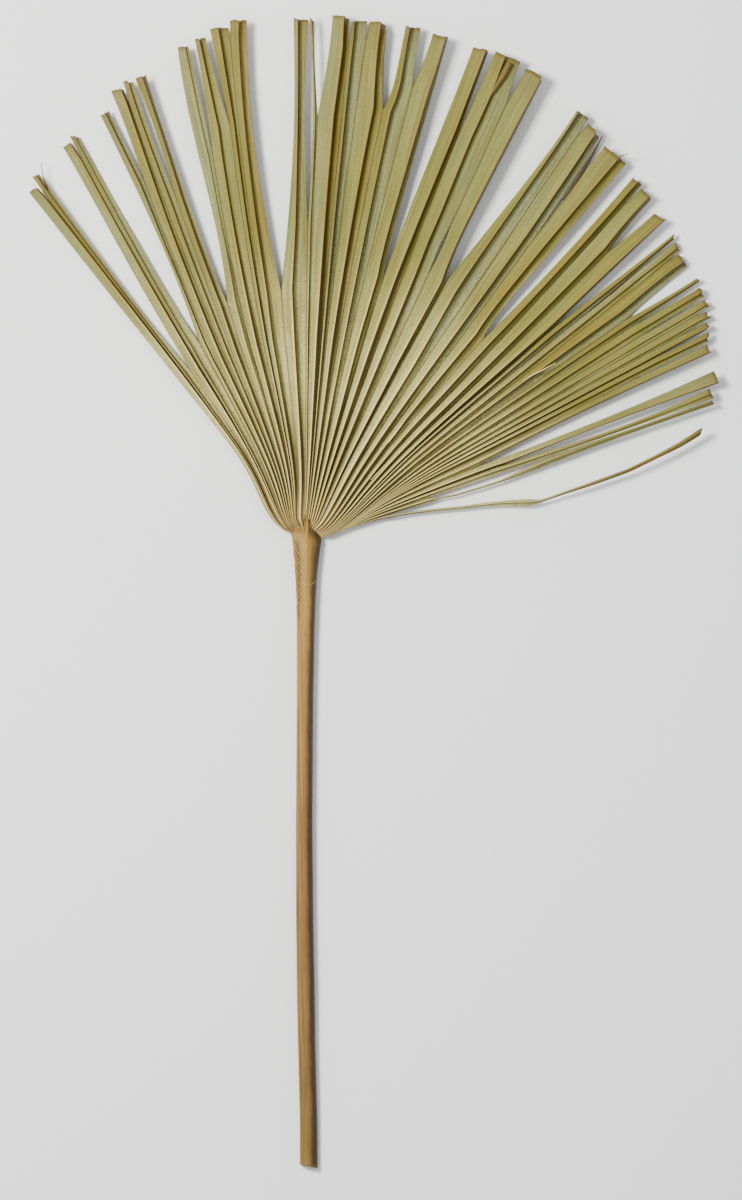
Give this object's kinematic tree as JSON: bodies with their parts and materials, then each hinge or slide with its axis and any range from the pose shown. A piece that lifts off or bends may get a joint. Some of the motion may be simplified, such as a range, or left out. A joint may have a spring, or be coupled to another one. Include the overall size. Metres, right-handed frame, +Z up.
{
  "type": "dried fan palm leaf",
  "caption": "Dried fan palm leaf with a round-trimmed pleated fan, split finger tips, loose strands at one side and a long stalk, lying with its underside up.",
  "frame": {"origin": "on the resting surface, under the middle of the leaf's bounding box", "axes": "+Y from the cut end of the stalk towards the fan, +Z up out of the leaf's underside, which faces up"},
  "size_m": [0.4606, 0.7706, 0.019],
  "materials": {
    "blade": "dry leaf, matt with a faint sheen, olive and grey-green",
    "petiole": "dry stalk, satin tan and olive brown"
  },
  "bodies": {
    "root": {"blade": "blade", "petiole": "petiole"}
  },
  "joints": []
}
